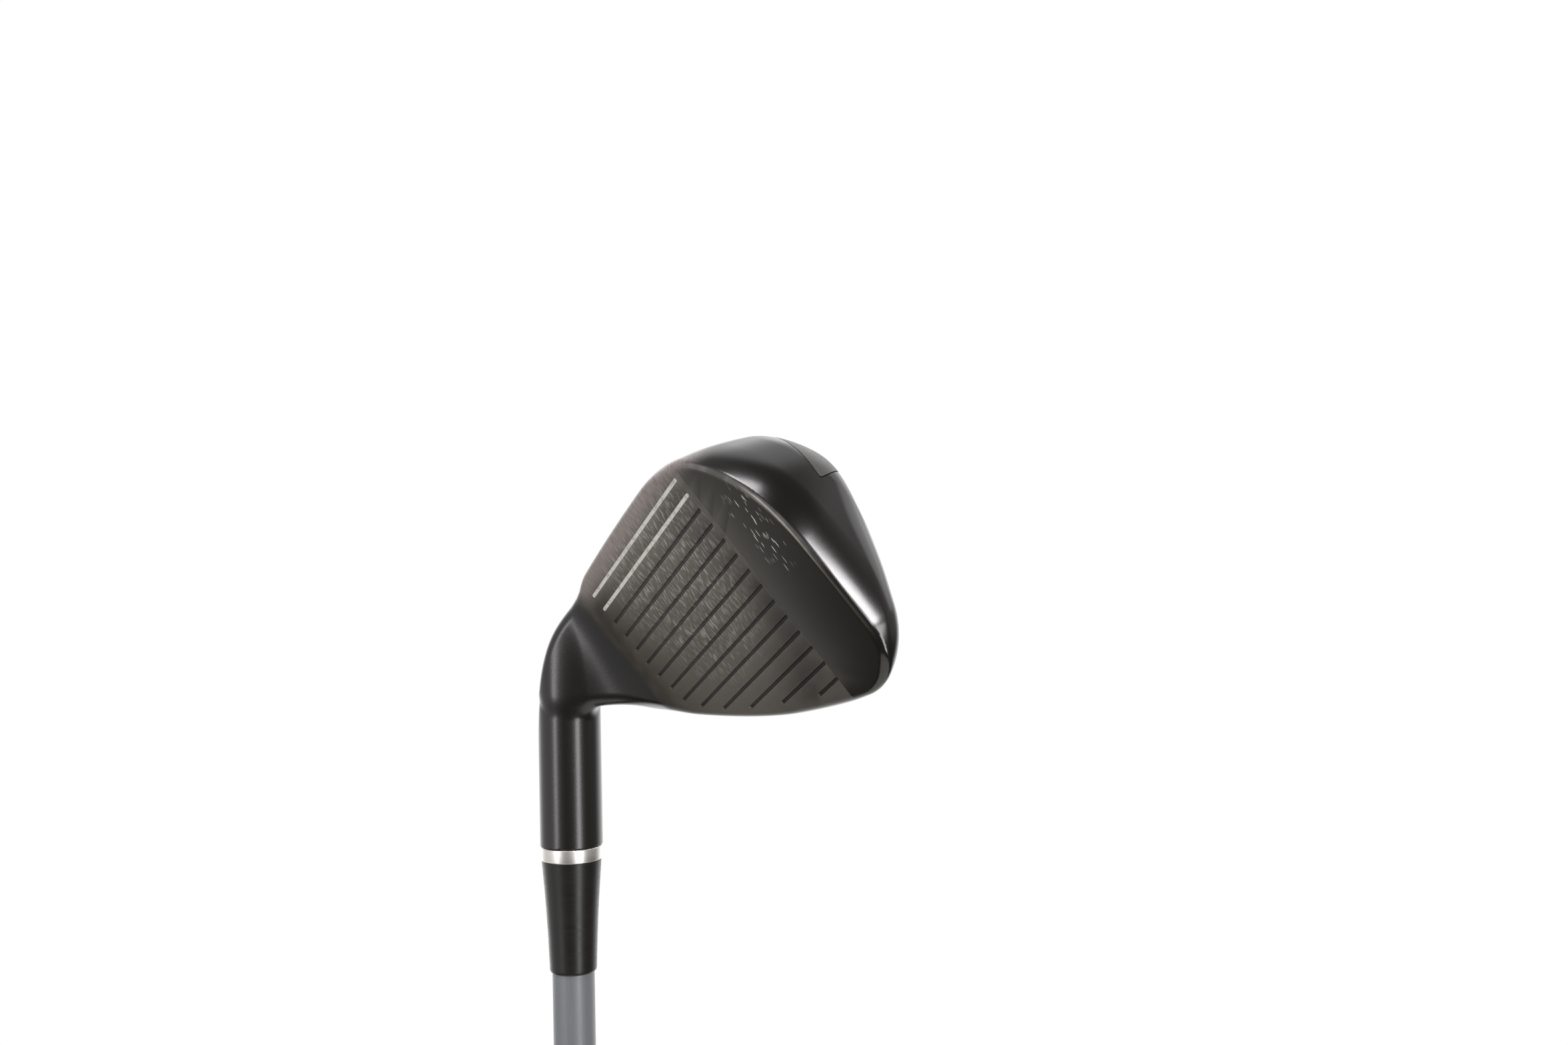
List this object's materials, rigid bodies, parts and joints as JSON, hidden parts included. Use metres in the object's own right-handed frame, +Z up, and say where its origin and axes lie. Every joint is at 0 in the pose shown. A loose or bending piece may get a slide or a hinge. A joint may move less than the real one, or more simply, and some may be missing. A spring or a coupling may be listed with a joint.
{
  "type": "hybrid golf club",
  "caption": "Right-handed hollow-bodied hybrid iron with a grooved face, bonded graphite shaft and rubber grip.",
  "frame": {"origin": "centre of the grip's flat end, where the vent hole opens", "axes": "+Z up the shaft axis from grip to head, +X from the shaft towards the toe, -Y the way the face looks"},
  "size_m": [0.1111, 0.0451, 0.9716],
  "materials": {
    "head_steel": "satin black vapour-deposited coat on cast stainless steel, tight rounded crests",
    "face_steel": "black coat over a fine blasted face, worn lighter by play, with milled scorelines",
    "line_paint": "off-white enamel fill, slightly dirty",
    "cap_metal": "satin black coat on a cast alloy cap",
    "adhesive": "black structural adhesive",
    "weight_brass": "plain turned brass",
    "epoxy": "amber epoxy with fine beads",
    "polished_ring": "polished metal, brushed round its edge",
    "ferrule_plastic": "buffed glossy black plastic",
    "shaft_lacquer": "satin mid-grey lacquer over graphite",
    "tape_paper": "cream double-sided tape",
    "grip_rubber": "matt black rubber with a moulded pattern"
  },
  "bodies": {
    "root": {"head_body": "head_steel", "face_plate": "face_steel", "scoreline_paint_1": "line_paint", "scoreline_paint_2": "line_paint", "rear_cap": "cap_metal", "cap_adhesive": "adhesive", "tip_weight": "weight_brass", "tip_epoxy": "epoxy", "ferrule_ring": "polished_ring", "ferrule": "ferrule_plastic", "shaft": "shaft_lacquer", "grip_tape": "tape_paper", "grip": "grip_rubber"}
  },
  "joints": []
}
